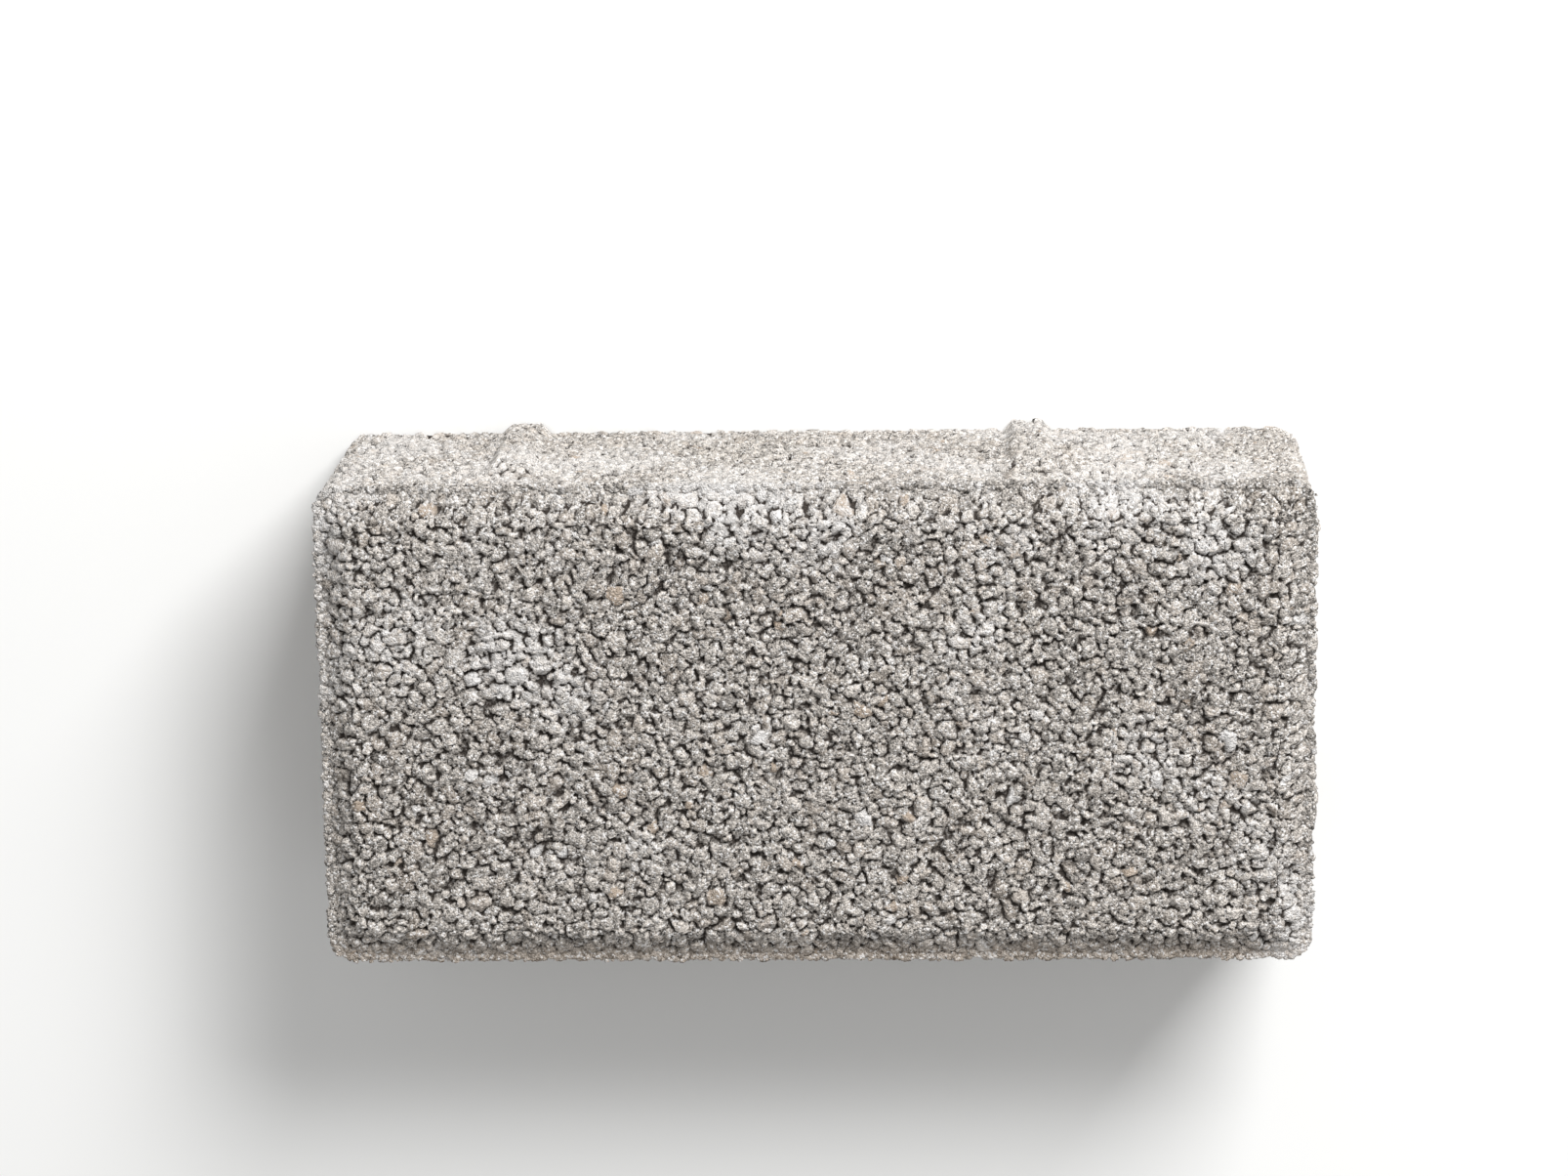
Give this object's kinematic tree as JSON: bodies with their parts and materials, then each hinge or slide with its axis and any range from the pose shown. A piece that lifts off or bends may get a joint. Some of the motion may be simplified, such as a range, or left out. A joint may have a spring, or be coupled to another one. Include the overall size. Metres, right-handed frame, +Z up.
{
  "type": "permeable concrete paver",
  "caption": "Rectangular permeable concrete paver with an open no-fines grain, chamfered arrises with a narrow ledge, rounded corners and spacer nibs on its walls.",
  "frame": {"origin": "middle of the underside, midway between the nibs' outer faces", "axes": "+Z up, out of the wearing face; +X along the length; +Y across the width"},
  "size_m": [0.202, 0.102, 0.06],
  "materials": {
    "pervious_concrete": "open-grained, matt, cement-coated chippings with dark pores"
  },
  "bodies": {
    "root": {"paver": "pervious_concrete"}
  },
  "joints": []
}
